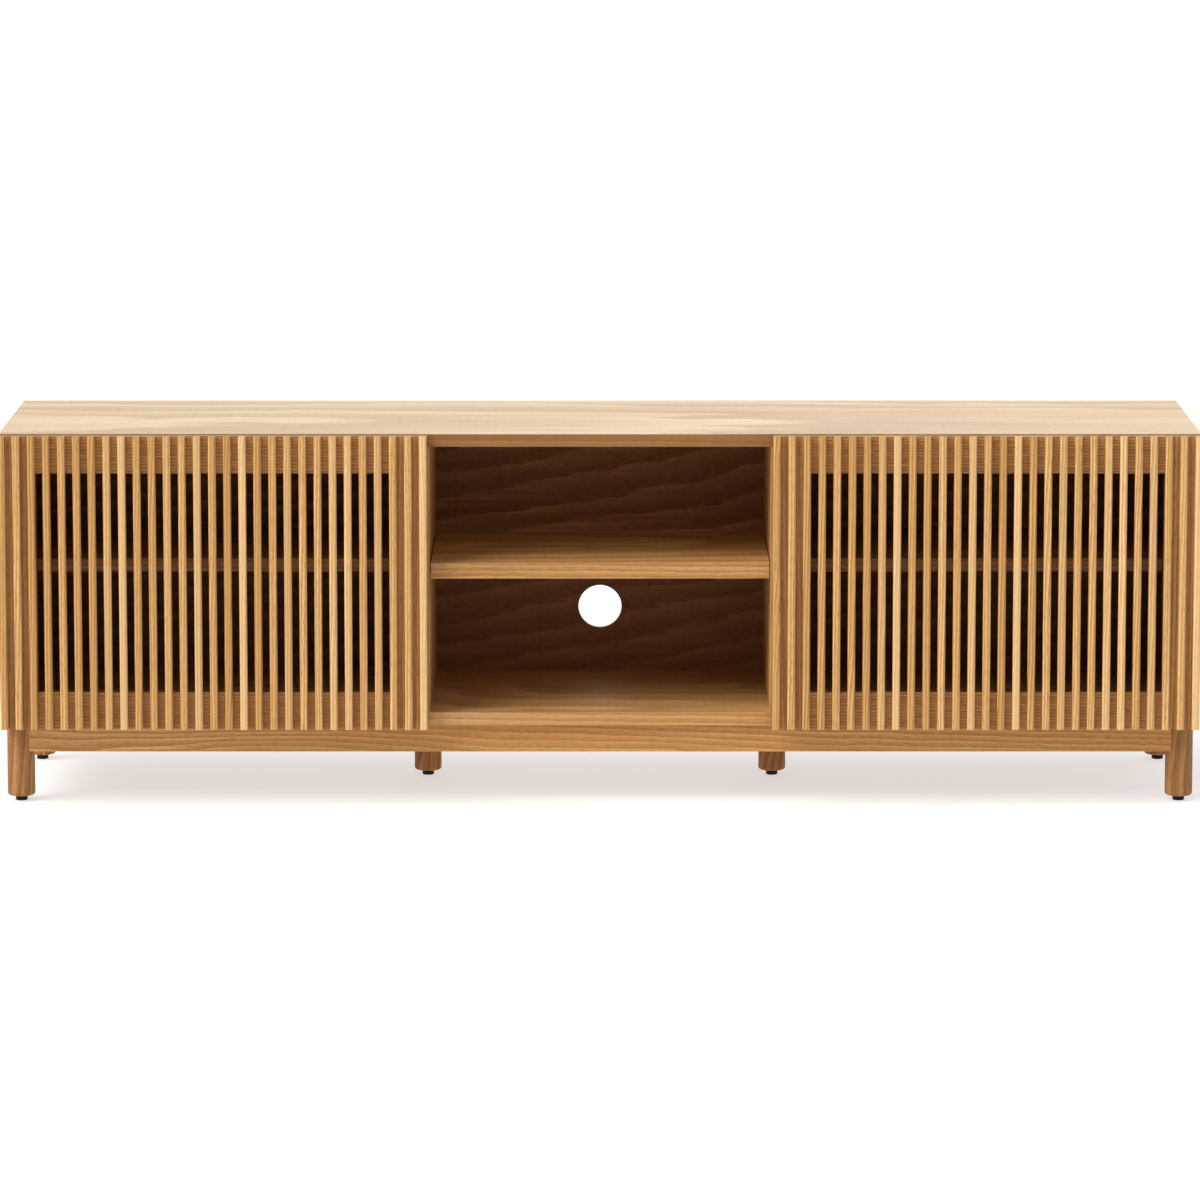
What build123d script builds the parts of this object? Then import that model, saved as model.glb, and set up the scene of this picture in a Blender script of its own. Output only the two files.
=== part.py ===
from build123d import *
import os

# Low media cabinet in oak: an open niche with a loose shelf between two
# compartments that are closed by slatted doors, on six short round legs.
# Millimetres. X runs along the cabinet, -Y is the front, +Z is up. The origin
# is on the floor, in the middle of the cabinet's whole box, doors included.

# ---- Overall sizes ----
WIDTH = 1600.0
HEIGHT = 500.0
CARCASS_DEPTH = 370.0
BASE_HEIGHT = 106.0  # floor to the bottom panel's underside

# ---- Carcass ----
PANEL = 18.0  # top, bottom, sides and dividers
NICHE_WIDTH = 455.0
BACK_THICKNESS = 8.0
BACK_INSET = 14.0  # carcass rear edge to the back panel's rear face
GROOVE_DEPTH = 6.0
CABLE_HOLE_RADIUS = 30.0
EASE = 0.6  # rounding of carcass edges
FIT = 0.1  # clearance on each side of a glued tongue or tenon
ROUND_FIT = 0.05  # radial clearance of a dowel, stud or pin in its hole
END_ROOM = 1.0  # free depth past the end of a dowel, stud, tenon or pin

# ---- Shelves ----
SHELF_TOP = 326.0  # floor to the upper face of each shelf
SHELF_END_GAP = 1.0
MIDDLE_SHELF_THICKNESS = 22.0
MIDDLE_SHELF_SETBACK = 5.0  # carcass front to the shelf's front
MIDDLE_SHELF_BACK_GAP = 53.0  # shelf's rear to the back panel
SIDE_SHELF_THICKNESS = 18.0
SIDE_SHELF_SETBACK = 42.0
SIDE_SHELF_BACK_GAP = 16.0
SHELF_PIN_RADIUS = 2.5
SHELF_PIN_LENGTH = 15.0
SHELF_PIN_SEAT = 7.0  # length of a shelf pin inside the panel
SHELF_PIN_FROM_EDGE = 40.0

# ---- Dowels of the carcass ----
DOWEL_RADIUS = 4.0
DOWEL_IN_FLAT = 12.0  # length inside the top or bottom panel
DOWEL_IN_UPRIGHT = 20.0
DOWEL_FROM_EDGE = 50.0

# ---- Doors ----
DOOR_REVEAL = 2.5  # the part of a divider's front edge that a door leaves bare
DOOR_GAP = 3.0  # air between the carcass front and a door's back
DOOR_LIP = 1.0  # a door ends this far below the top and below the bottom panel
DOOR_FRAME = 18.0  # thickness of stiles and rails
STILE_WIDTH = 50.0
RAIL_WIDTH = 50.0
SLAT_WIDTH = 10.0
SLAT_GAP = 10.0  # evened out over the door's width
SLAT_DEPTH = 9.0
SLAT_ROUND = 3.0
DOOR_EASE = 1.0
DOOR_TENON_LENGTH = 15.0
DOOR_TENON_THICKNESS = 6.0
DOOR_TENON_SHOULDER = 10.0

# ---- Base ----
LEG_RADIUS = 18.5
LEG_FROM_FRONT = 28.0  # carcass front or rear to a corner leg's axis
LEG_FROM_SIDE = 21.5
LEG_ROUND = 4.0
MIDDLE_LEG_FROM_FRONT = 220.0
APRON_HEIGHT = 38.0
APRON_THICKNESS = 20.0
APRON_INSET = 14.0  # carcass face to the apron's face
APRON_TENON_FROM_AXIS = 6.0  # a leg's axis to a tenon's end
APRON_TENON_THICKNESS = 10.0
APRON_TENON_SHOULDER = 6.0
APRON_SCREW_RADIUS = 2.0
APRON_SCREW_LENGTH = 30.0
APRON_SCREW_HEAD_RADIUS = 4.0
APRON_SCREW_HEAD = 3.0
APRON_SCREW_SINK = 18.0  # depth of the counterbore
FOOT_HEIGHT = 7.0
FOOT_RADIUS = 8.0
FOOT_ROUND = 1.5
FOOT_GAP = 0.3  # air between a foot's pad and its leg
STUD_RADIUS = 4.0
STUD_LENGTH = 24.0
INSERT_RADIUS = 6.0
INSERT_LENGTH = 20.0
LEG_BOLT_RADIUS = 4.0
LEG_BOLT_IN_LEG = 26.0
LEG_BOLT_IN_PANEL = 13.0
LEG_BOLT_CHAMFER = 0.8

# ---- Concealed hinges ----
HINGE_FROM_END = 70.0  # a door's top or bottom edge to the hinge's middle
PIN_IN = 7.0  # door's outer edge to the pin's axis
PIN_OUT = 11.5  # carcass front to the pin's axis
PIN_RADIUS = 1.5
PIN_HALF = 8.5  # half the pin's length
PIN_HOLD = 0.02  # radial clearance of the pin in the lugs
CUP_IN = 20.2  # door's outer edge to the cup's axis
CUP_RADIUS = 17.5
CUP_DEPTH = 13.0
CUP_WALL = 0.8
CUP_FLOOR = 1.0
FLANGE = 1.0
FLANGE_LIP = 1.0
WING_HALF = 30.0
WING_IN = (20.0, 32.0)
CUP_SCREW_IN = 26.0
CUP_SCREW_HALF = 24.0  # half the distance between a cup's two screws
CUP_SCREW_RADIUS = 1.75
CUP_SCREW_LENGTH = 11.0
CUP_SCREW_HEAD_RADIUS = 3.2
CUP_SCREW_HEAD = 1.0
ARM_THICKNESS = 2.5
ARM_HALF = 4.5  # half the arm's width inside the cup
ARM_CASE_HALF = 6.5  # half its width inside the case
ARM_REACH = 56.0  # how far the arm runs behind the carcass front
EYE_RADIUS = 2.5
LUG_HALF = 3.2
LUG_GAP = 0.3
PLATE_THICKNESS = 3.0
PLATE_HALF = 8.0
PLATE_WING_HALF = 22.0
PLATE_RANGE = (14.0, 58.0)  # behind the carcass front
PLATE_SCREW_BACK = 37.0
PLATE_SCREW_HALF = 16.0  # half the distance between a plate's two screws
PLATE_SCREW_RADIUS = 2.5
PLATE_SCREW_LENGTH = 10.0
PLATE_SCREW_HEAD_RADIUS = 4.0
PLATE_SCREW_HEAD = 2.0

# ---- Push latches ----
LATCH_SIZE = 14.0
LATCH_LENGTH = 58.0
LATCH_BACK = 2.0  # carcass front to the housing's front end
LATCH_FROM_DIVIDER = 6.0
LATCH_TAB = 3.0
LATCH_SCREW_RADIUS = 1.5
LATCH_SCREW_LENGTH = 10.0
LATCH_SCREW_HEAD_RADIUS = 2.8
LATCH_SCREW_HEAD = 1.5
PLUNGER_RADIUS = 4.0
PLUNGER_LENGTH = 50.0
PLUNGER_CLEAR = 0.3  # air between a plunger and its strike plate
PLUNGER_TRAVEL = 3.0
STRIKE_RADIUS = 7.0
STRIKE_THICKNESS = 1.0

# ---- Worked-out planes ----
DOOR_PROUD = DOOR_GAP + DOOR_FRAME + SLAT_DEPTH
FRONT = DOOR_PROUD - (CARCASS_DEPTH + DOOR_PROUD) / 2
REAR = FRONT + CARCASS_DEPTH
SIDE = WIDTH / 2
SIDE_INNER = SIDE - PANEL
DIVIDER_INNER = NICHE_WIDTH / 2
DIVIDER_OUTER = DIVIDER_INNER + PANEL
DIVIDER_MIDDLE = DIVIDER_INNER + PANEL / 2
FLOOR_TOP = BASE_HEIGHT + PANEL  # upper face of the bottom panel
CEILING = HEIGHT - PANEL  # underside of the top panel
BACK_REAR = REAR - BACK_INSET
BACK_FRONT = BACK_REAR - BACK_THICKNESS
DOOR_BACK = FRONT - DOOR_GAP
DOOR_FRONT = DOOR_BACK - DOOR_FRAME
DOOR_OUTER = SIDE
DOOR_INNER = DIVIDER_INNER + DOOR_REVEAL
SLAT_STEPS = round((DOOR_OUTER - DOOR_INNER - SLAT_WIDTH) / (SLAT_WIDTH + SLAT_GAP))
SLAT_PITCH = (DOOR_OUTER - DOOR_INNER - SLAT_WIDTH) / SLAT_STEPS
DOOR_BOTTOM = BASE_HEIGHT - DOOR_LIP
DOOR_TOP = HEIGHT - DOOR_LIP
LEG_X = SIDE - LEG_FROM_SIDE
FRONT_LEG_Y = FRONT + LEG_FROM_FRONT
REAR_LEG_Y = REAR - LEG_FROM_FRONT
MIDDLE_LEG_Y = FRONT + MIDDLE_LEG_FROM_FRONT
APRON_BOTTOM = BASE_HEIGHT - APRON_HEIGHT
PIN_X = SIDE - PIN_IN
PIN_Y = FRONT - PIN_OUT
CUP_X = SIDE - CUP_IN
ARM_X = SIDE_INNER - PLATE_THICKNESS - ARM_THICKNESS  # inner face of the arm
LATCH_X = DIVIDER_OUTER + LATCH_FROM_DIVIDER + LATCH_SIZE / 2
LATCH_Z = CEILING - LATCH_SIZE / 2

LEGS = {
    "front_right_leg": (LEG_X, FRONT_LEG_Y),
    "front_left_leg": (-LEG_X, FRONT_LEG_Y),
    "rear_right_leg": (LEG_X, REAR_LEG_Y),
    "rear_left_leg": (-LEG_X, REAR_LEG_Y),
    "middle_right_leg": (DIVIDER_MIDDLE, MIDDLE_LEG_Y),
    "middle_left_leg": (-DIVIDER_MIDDLE, MIDDLE_LEG_Y),
}
HINGE_HEIGHTS = (DOOR_BOTTOM + HINGE_FROM_END, DOOR_TOP - HINGE_FROM_END)
DOWEL_YS = (FRONT + DOWEL_FROM_EDGE, (FRONT + BACK_FRONT) / 2, BACK_FRONT - DOWEL_FROM_EDGE)
UPRIGHT_XS = [side * x for side in (-1, 1) for x in (SIDE - PANEL / 2, DIVIDER_MIDDLE)]
APRON_SCREW_XS = [side * share * LEG_X for side in (-1, 1) for share in (0.25, 0.75)]


# ---- Small shapes ----
def block(xs, ys, zs):
    """A box between pairs of coordinates."""
    spans = [(min(pair), max(pair)) for pair in (xs, ys, zs)]
    middle = [(low + high) / 2 for low, high in spans]
    return Pos(*middle) * Box(*[high - low for low, high in spans])


def rod(start, direction, radius, length):
    """A round bar from a point along a direction."""
    bar = Cylinder(radius, length, align=(Align.CENTER, Align.CENTER, Align.MIN))
    return Plane(origin=start, z_dir=direction) * bar


def eased(solid, radius):
    """The solid with all its edges rounded."""
    return fillet(solid.edges(), radius)


def screw(start, direction, radius, length, head_radius, head_length):
    """A pan-head screw with a cross recess, its head's outer face at start."""
    head = Cylinder(head_radius, head_length, align=(Align.CENTER, Align.CENTER, Align.MIN))
    head = fillet(head.edges().sort_by(Axis.Z)[0], head_length / 3)
    shank = Pos(0, 0, head_length / 2) * Cylinder(
        radius, length + head_length / 2, align=(Align.CENTER, Align.CENTER, Align.MIN)
    )
    slot = head_radius * 0.9
    recess = Box(slot * 1.2, slot * 0.25, head_length) + Box(slot * 0.25, slot * 1.2, head_length)
    return Plane(origin=start, z_dir=direction) * (head + shank - recess)


def twin(solid):
    """The same piece on the other side of the cabinet."""
    return mirror(solid, about=Plane.YZ)


def group(solids):
    """Separate solids that share one node."""
    return Compound(children=[solid for piece in solids for solid in piece.solids()])


# ---- Carcass ----
def dowel_holes(z, depth_down, depth_up):
    """Holes for every carcass dowel that crosses the joint at height z."""
    holes = []
    for x in UPRIGHT_XS:
        for y in DOWEL_YS:
            start = (x, y, z - depth_down - END_ROOM)
            length = depth_down + depth_up + 2 * END_ROOM
            holes.append(rod(start, (0, 0, 1), DOWEL_RADIUS + ROUND_FIT, length))
    return holes


def lower_dowel_holes():
    return dowel_holes(FLOOR_TOP, DOWEL_IN_FLAT, DOWEL_IN_UPRIGHT)


def upper_dowel_holes():
    return dowel_holes(CEILING, DOWEL_IN_UPRIGHT, DOWEL_IN_FLAT)


def carcass_dowels():
    dowels = []
    length = DOWEL_IN_FLAT + DOWEL_IN_UPRIGHT
    for x in UPRIGHT_XS:
        for y in DOWEL_YS:
            for z in (FLOOR_TOP - DOWEL_IN_FLAT, CEILING - DOWEL_IN_UPRIGHT):
                dowel = rod((x, y, z), (0, 0, 1), DOWEL_RADIUS, length)
                ends = dowel.edges().group_by(Axis.Z)
                dowels.append(chamfer(ends[0] + ends[-1], DOWEL_RADIUS / 5))
    return group(dowels)


def back_groove():
    """The groove that holds the back panel's four edges."""
    reach = SIDE_INNER + GROOVE_DEPTH
    ys = (BACK_FRONT - FIT, BACK_REAR + FIT)
    return block((-reach, reach), ys, (FLOOR_TOP - GROOVE_DEPTH, CEILING + GROOVE_DEPTH))


def top_panel():
    panel = eased(block((-SIDE, SIDE), (FRONT, REAR), (CEILING, HEIGHT)), EASE)
    return panel - back_groove() - upper_dowel_holes() - latch_screw_holes()


def bottom_panel():
    panel = eased(block((-SIDE, SIDE), (FRONT, REAR), (BASE_HEIGHT, FLOOR_TOP)), EASE)
    panel -= back_groove()
    panel -= lower_dowel_holes()
    for x, y in LEGS.values():
        length = LEG_BOLT_IN_PANEL + END_ROOM
        panel -= rod((x, y, BASE_HEIGHT), (0, 0, 1), LEG_BOLT_RADIUS + ROUND_FIT, length)
    return panel - apron_screw_holes()


def side_panel():
    """The right side, with its groove, dowel holes and hinge and shelf holes."""
    panel = eased(block((SIDE_INNER, SIDE), (FRONT, REAR), (FLOOR_TOP, CEILING)), EASE)
    panel = panel - back_groove() - lower_dowel_holes() - upper_dowel_holes()
    for z in HINGE_HEIGHTS:
        for offset in (-PLATE_SCREW_HALF, PLATE_SCREW_HALF):
            start = (SIDE_INNER, FRONT + PLATE_SCREW_BACK, z + offset)
            radius = PLATE_SCREW_RADIUS + ROUND_FIT
            panel -= rod(start, (1, 0, 0), radius, PLATE_SCREW_LENGTH + END_ROOM)
    return panel - shelf_pin_holes()


def divider():
    """The right divider, with holes for the pins of the shelves on both sides."""
    panel = block((DIVIDER_INNER, DIVIDER_OUTER), (FRONT, BACK_FRONT), (FLOOR_TOP, CEILING))
    panel = eased(panel, EASE) - lower_dowel_holes() - upper_dowel_holes()
    return panel - shelf_pin_holes()


def back_panel():
    reach = SIDE_INNER + GROOVE_DEPTH - END_ROOM
    zs = (FLOOR_TOP - GROOVE_DEPTH + END_ROOM, CEILING + GROOVE_DEPTH - END_ROOM)
    panel = block((-reach, reach), (BACK_FRONT, BACK_REAR), zs)
    middle = (FLOOR_TOP + SHELF_TOP - MIDDLE_SHELF_THICKNESS) / 2
    start = (0, BACK_FRONT - END_ROOM, middle)
    return panel - rod(start, (0, 1, 0), CABLE_HOLE_RADIUS, BACK_THICKNESS + 2 * END_ROOM)


# ---- Shelves ----
def middle_shelf():
    reach = DIVIDER_INNER - SHELF_END_GAP
    ys = (FRONT + MIDDLE_SHELF_SETBACK, BACK_FRONT - MIDDLE_SHELF_BACK_GAP)
    zs = (SHELF_TOP - MIDDLE_SHELF_THICKNESS, SHELF_TOP)
    return eased(block((-reach, reach), ys, zs), DOOR_EASE)


def side_shelf():
    xs = (DIVIDER_OUTER + SHELF_END_GAP, SIDE_INNER - SHELF_END_GAP)
    ys = (FRONT + SIDE_SHELF_SETBACK, BACK_FRONT - SIDE_SHELF_BACK_GAP)
    zs = (SHELF_TOP - SIDE_SHELF_THICKNESS, SHELF_TOP)
    return eased(block(xs, ys, zs), DOOR_EASE)


def shelf_pin_places():
    """Where each pin meets its panel's face, and the way it runs into the panel."""
    middle_z = SHELF_TOP - MIDDLE_SHELF_THICKNESS - SHELF_PIN_RADIUS
    side_z = SHELF_TOP - SIDE_SHELF_THICKNESS - SHELF_PIN_RADIUS
    middle_ys = (
        FRONT + MIDDLE_SHELF_SETBACK + SHELF_PIN_FROM_EDGE,
        BACK_FRONT - MIDDLE_SHELF_BACK_GAP - SHELF_PIN_FROM_EDGE,
    )
    side_ys = (
        FRONT + SIDE_SHELF_SETBACK + SHELF_PIN_FROM_EDGE,
        BACK_FRONT - SIDE_SHELF_BACK_GAP - SHELF_PIN_FROM_EDGE,
    )
    places = []
    for side in (-1, 1):
        for x, way, ys, z in (
            (DIVIDER_INNER, side, middle_ys, middle_z),
            (DIVIDER_OUTER, -side, side_ys, side_z),
            (SIDE_INNER, side, side_ys, side_z),
        ):
            places += [((side * x, y, z), (way, 0, 0)) for y in ys]
    return places


def shelf_pin_holes():
    radius = SHELF_PIN_RADIUS + ROUND_FIT
    return [rod(at, way, radius, SHELF_PIN_SEAT + END_ROOM) for at, way in shelf_pin_places()]


def shelf_pins():
    pins = []
    for (x, y, z), way in shelf_pin_places():
        start = (x - way[0] * (SHELF_PIN_LENGTH - SHELF_PIN_SEAT), y, z)
        pin = rod(start, way, SHELF_PIN_RADIUS, SHELF_PIN_LENGTH)
        pins.append(chamfer(pin.edges().filter_by(GeomType.CIRCLE), SHELF_PIN_RADIUS / 5))
    return group(pins)


# ---- Base ----
def front_rear_apron(leg_y, inward):
    """A long apron between two corner legs. inward is +1 at the front, -1 at the rear."""
    face = leg_y - inward * (LEG_FROM_FRONT - APRON_INSET)
    ys = (face, face + inward * APRON_THICKNESS)
    rail = block((-LEG_X, LEG_X), ys, (APRON_BOTTOM, BASE_HEIGHT))
    rail = fillet(rail.edges().filter_by(Axis.X).group_by(Axis.Z)[0], DOOR_EASE)
    for x in (-LEG_X, LEG_X):
        start = (x, leg_y, APRON_BOTTOM)
        rail -= rod(start, (0, 0, 1), LEG_RADIUS + ROUND_FIT, APRON_HEIGHT)
    rail += apron_tenons(0)
    band = block((-SIDE, SIDE), (leg_y - LEG_RADIUS, leg_y + LEG_RADIUS), (0, HEIGHT))
    return (rail & band) - apron_screw_holes()


def apron_tenons(grow):
    """The long aprons' tenons, or their mortises when grown by a clearance."""
    tenons = []
    inner = LEG_X - LEG_RADIUS - APRON_TENON_SHOULDER
    outer = LEG_X - APRON_TENON_FROM_AXIS + (END_ROOM if grow else 0)
    zs = (APRON_BOTTOM + APRON_TENON_SHOULDER - grow, BASE_HEIGHT - APRON_TENON_SHOULDER + grow)
    half = APRON_TENON_THICKNESS / 2 + grow
    for leg_y, inward in ((FRONT_LEG_Y, 1), (REAR_LEG_Y, -1)):
        middle = leg_y - inward * (LEG_FROM_FRONT - APRON_INSET - APRON_THICKNESS / 2)
        for side in (-1, 1):
            xs = (side * inner, side * outer)
            tenons.append(block(xs, (middle - half, middle + half), zs))
    return tenons


def rail_tenons(grow):
    """The side rails' tenons, or their mortises when grown by a clearance."""
    tenons = []
    zs = (APRON_BOTTOM + APRON_TENON_SHOULDER - grow, BASE_HEIGHT - APRON_TENON_SHOULDER + grow)
    half = APRON_TENON_THICKNESS / 2 + grow
    for leg_y, inward in ((FRONT_LEG_Y, 1), (REAR_LEG_Y, -1)):
        inner = leg_y + inward * (LEG_RADIUS + APRON_TENON_SHOULDER)
        outer = leg_y + inward * (APRON_TENON_FROM_AXIS - (END_ROOM if grow else 0))
        for x in (-LEG_X, LEG_X):
            tenons.append(block((x - half, x + half), (inner, outer), zs))
    return tenons


def side_rail():
    """The right rail between the front and rear legs."""
    xs = (LEG_X - APRON_THICKNESS / 2, LEG_X + APRON_THICKNESS / 2)
    rail = block(xs, (FRONT_LEG_Y, REAR_LEG_Y), (APRON_BOTTOM, BASE_HEIGHT))
    rail = fillet(rail.edges().filter_by(Axis.Y).group_by(Axis.Z)[0], DOOR_EASE)
    for y in (FRONT_LEG_Y, REAR_LEG_Y):
        start = (LEG_X, y, APRON_BOTTOM)
        rail -= rod(start, (0, 0, 1), LEG_RADIUS + ROUND_FIT, APRON_HEIGHT)
    rail += rail_tenons(0)
    return rail & block((0, SIDE), (FRONT, REAR), (0, HEIGHT))


def apron_screw_places():
    places = []
    for leg_y, inward in ((FRONT_LEG_Y, 1), (REAR_LEG_Y, -1)):
        middle = leg_y - inward * (LEG_FROM_FRONT - APRON_INSET - APRON_THICKNESS / 2)
        places += [(x, middle) for x in APRON_SCREW_XS]
    return places


def apron_screw_holes():
    holes = []
    for x, y in apron_screw_places():
        start = (x, y, APRON_BOTTOM)
        holes.append(rod(start, (0, 0, 1), APRON_SCREW_HEAD_RADIUS + FIT, APRON_SCREW_SINK))
        seat = (x, y, APRON_BOTTOM + APRON_SCREW_SINK)
        length = APRON_SCREW_LENGTH + END_ROOM
        holes.append(rod(seat, (0, 0, 1), APRON_SCREW_RADIUS + ROUND_FIT, length))
    return holes


def apron_screws():
    z = APRON_BOTTOM + APRON_SCREW_SINK - APRON_SCREW_HEAD
    sizes = (APRON_SCREW_RADIUS, APRON_SCREW_LENGTH, APRON_SCREW_HEAD_RADIUS, APRON_SCREW_HEAD)
    return group(screw((x, y, z), (0, 0, 1), *sizes) for x, y in apron_screw_places())


def leg(x, y):
    """A round leg with its mortises, its insert's hole and its bolt's hole."""
    post = rod((x, y, FOOT_HEIGHT), (0, 0, 1), LEG_RADIUS, BASE_HEIGHT - FOOT_HEIGHT)
    post = fillet(post.edges().sort_by(Axis.Z)[0], LEG_ROUND)
    start = (x, y, FOOT_HEIGHT)
    post -= rod(start, (0, 0, 1), INSERT_RADIUS + ROUND_FIT, STUD_LENGTH + END_ROOM)
    top = (x, y, BASE_HEIGHT)
    length = LEG_BOLT_IN_LEG + END_ROOM
    post -= rod(top, (0, 0, -1), LEG_BOLT_RADIUS + ROUND_FIT, length)
    return post - apron_tenons(FIT) - rail_tenons(FIT)


def foot(x, y):
    """A levelling foot: a round pad with its threaded stud."""
    pad = rod((x, y, 0), (0, 0, 1), FOOT_RADIUS, FOOT_HEIGHT - FOOT_GAP)
    pad = fillet(pad.edges().sort_by(Axis.Z)[0], FOOT_ROUND)
    return pad + rod((x, y, FOOT_ROUND), (0, 0, 1), STUD_RADIUS, FOOT_HEIGHT + STUD_LENGTH - FOOT_ROUND)


def foot_inserts():
    inserts = []
    for x, y in LEGS.values():
        start = (x, y, FOOT_HEIGHT)
        sleeve = rod(start, (0, 0, 1), INSERT_RADIUS, INSERT_LENGTH)
        inserts.append(sleeve - rod(start, (0, 0, 1), STUD_RADIUS + ROUND_FIT, INSERT_LENGTH))
    return group(inserts)


def leg_bolts():
    bolts = []
    for x, y in LEGS.values():
        start = (x, y, BASE_HEIGHT - LEG_BOLT_IN_LEG)
        bolt = rod(start, (0, 0, 1), LEG_BOLT_RADIUS, LEG_BOLT_IN_LEG + LEG_BOLT_IN_PANEL)
        bolts.append(chamfer(bolt.edges().filter_by(GeomType.CIRCLE), LEG_BOLT_CHAMFER))
    return group(bolts)


# ---- Doors (the right one; the left one is its mirror image) ----
def door_stile(xs):
    ys = (DOOR_FRONT, DOOR_BACK)
    return eased(block(xs, ys, (DOOR_BOTTOM, DOOR_TOP)), DOOR_EASE) - door_tenons(FIT)


def door_tenons(grow):
    """The rails' tenons, or their mortises when grown by a clearance."""
    tenons = []
    room = END_ROOM if grow else 0
    reach = DOOR_TENON_LENGTH + room
    xs = (DOOR_INNER + STILE_WIDTH - reach, DOOR_OUTER - STILE_WIDTH + reach)
    middle = (DOOR_FRONT + DOOR_BACK) / 2
    half = DOOR_TENON_THICKNESS / 2 + grow
    for low in (DOOR_BOTTOM, DOOR_TOP - RAIL_WIDTH):
        shoulder = DOOR_TENON_SHOULDER - grow
        zs = (low + shoulder, low + RAIL_WIDTH - shoulder)
        tenons.append(block(xs, (middle - half, middle + half), zs))
    return tenons


def door_rail(low, tenon):
    xs = (DOOR_INNER + STILE_WIDTH, DOOR_OUTER - STILE_WIDTH)
    rail = block(xs, (DOOR_FRONT, DOOR_BACK), (low, low + RAIL_WIDTH))
    return fillet(rail.edges().filter_by(Axis.X), DOOR_EASE) + tenon


def outer_stile():
    """The hinged stile, bored for the cups and their screws."""
    stile = door_stile((DOOR_OUTER - STILE_WIDTH, DOOR_OUTER))
    for z in HINGE_HEIGHTS:
        start = (CUP_X, DOOR_BACK, z)
        stile -= rod(start, (0, -1, 0), CUP_RADIUS + ROUND_FIT, CUP_DEPTH + FIT)
        for offset in (-CUP_SCREW_HALF, CUP_SCREW_HALF):
            start = (SIDE - CUP_SCREW_IN, DOOR_BACK, z + offset)
            radius = CUP_SCREW_RADIUS + ROUND_FIT
            stile -= rod(start, (0, -1, 0), radius, CUP_SCREW_LENGTH + END_ROOM)
    return stile


def door_slats():
    slats = []
    for i in range(SLAT_STEPS + 1):
        x = DOOR_INNER + i * SLAT_PITCH
        ys = (DOOR_FRONT - SLAT_DEPTH, DOOR_FRONT)
        slat = block((x, x + SLAT_WIDTH), ys, (DOOR_BOTTOM, DOOR_TOP))
        upright = slat.edges().filter_by(Axis.Z).group_by(Axis.Y)[0]
        slats.append(fillet(upright, SLAT_ROUND))
    return group(slats)


def strike_plate():
    start = (LATCH_X, DOOR_BACK, LATCH_Z)
    plate = rod(start, (0, 1, 0), STRIKE_RADIUS, STRIKE_THICKNESS)
    return fillet(plate.edges().sort_by(Axis.Y)[-1], STRIKE_THICKNESS / 3)


# ---- Hinges of the right door ----
def hinge_cup(z):
    """The cup and its flange, with two lugs that hold the pin."""
    mouth = (CUP_X, DOOR_BACK, z)
    inner = CUP_RADIUS - CUP_WALL
    cup = rod(mouth, (0, -1, 0), CUP_RADIUS, CUP_DEPTH)
    flange = rod(mouth, (0, 1, 0), CUP_RADIUS + FLANGE_LIP, FLANGE)
    xs = (SIDE - WING_IN[1], SIDE - WING_IN[0])
    wings = block(xs, (DOOR_BACK, DOOR_BACK + FLANGE), (z - WING_HALF, z + WING_HALF))
    wings = fillet(wings.edges().filter_by(Axis.Y), WING_HALF / 6)
    inside = rod((CUP_X, DOOR_BACK + FLANGE, z), (0, -1, 0), inner, FLANGE + CUP_DEPTH - CUP_FLOOR)
    cup = cup + flange + wings - inside
    lug_core = rod(mouth, (0, -1, 0), inner + CUP_WALL / 2, CUP_DEPTH - CUP_FLOOR / 2)
    for side in (-1, 1):
        zs = (z + side * (ARM_HALF + LUG_GAP), z + side * CUP_RADIUS)
        ys = (DOOR_BACK - CUP_DEPTH, PIN_Y + LUG_HALF)
        cup += block((PIN_X - LUG_HALF, PIN_X + LUG_HALF), ys, zs) & lug_core
        start = (SIDE - CUP_SCREW_IN, DOOR_BACK + FLANGE, z + side * CUP_SCREW_HALF)
        cup -= rod(start, (0, -1, 0), CUP_SCREW_RADIUS + FIT, FLANGE)
    low = (PIN_X, PIN_Y, z - PIN_HALF - FIT)
    return cup - rod(low, (0, 0, 1), PIN_RADIUS + PIN_HOLD, 2 * (PIN_HALF + FIT))


def hinge_arm(z):
    """The fixed gooseneck: eye, leg across the cup, and leg along the side."""
    inner = (ARM_X, ARM_X + ARM_THICKNESS)
    across_ys = (PIN_Y - ARM_THICKNESS / 2, PIN_Y + ARM_THICKNESS / 2)
    narrow = (z - ARM_HALF, z + ARM_HALF)
    arm = block((ARM_X, PIN_X), across_ys, narrow)
    arm += block(inner, (across_ys[0], FRONT + PLATE_RANGE[0]), narrow)
    bend = (ARM_X, across_ys[0], z)
    arm = fillet(arm.edges().filter_by(Axis.Z).sort_by_distance(bend)[0], ARM_THICKNESS * 0.8)
    case_ys = (FRONT + PLATE_RANGE[0], FRONT + ARM_REACH)
    wide = block(inner, case_ys, (z - ARM_CASE_HALF, z + ARM_CASE_HALF))
    arm += fillet(wide.edges().filter_by(Axis.X), ARM_HALF / 3)
    arm += rod((PIN_X, PIN_Y, z - ARM_HALF), (0, 0, 1), EYE_RADIUS, 2 * ARM_HALF)
    return arm - rod((PIN_X, PIN_Y, z - ARM_HALF), (0, 0, 1), PIN_RADIUS + ROUND_FIT, 2 * ARM_HALF)


def hinge_pin(z):
    return rod((PIN_X, PIN_Y, z - PIN_HALF), (0, 0, 1), PIN_RADIUS, 2 * PIN_HALF)


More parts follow.
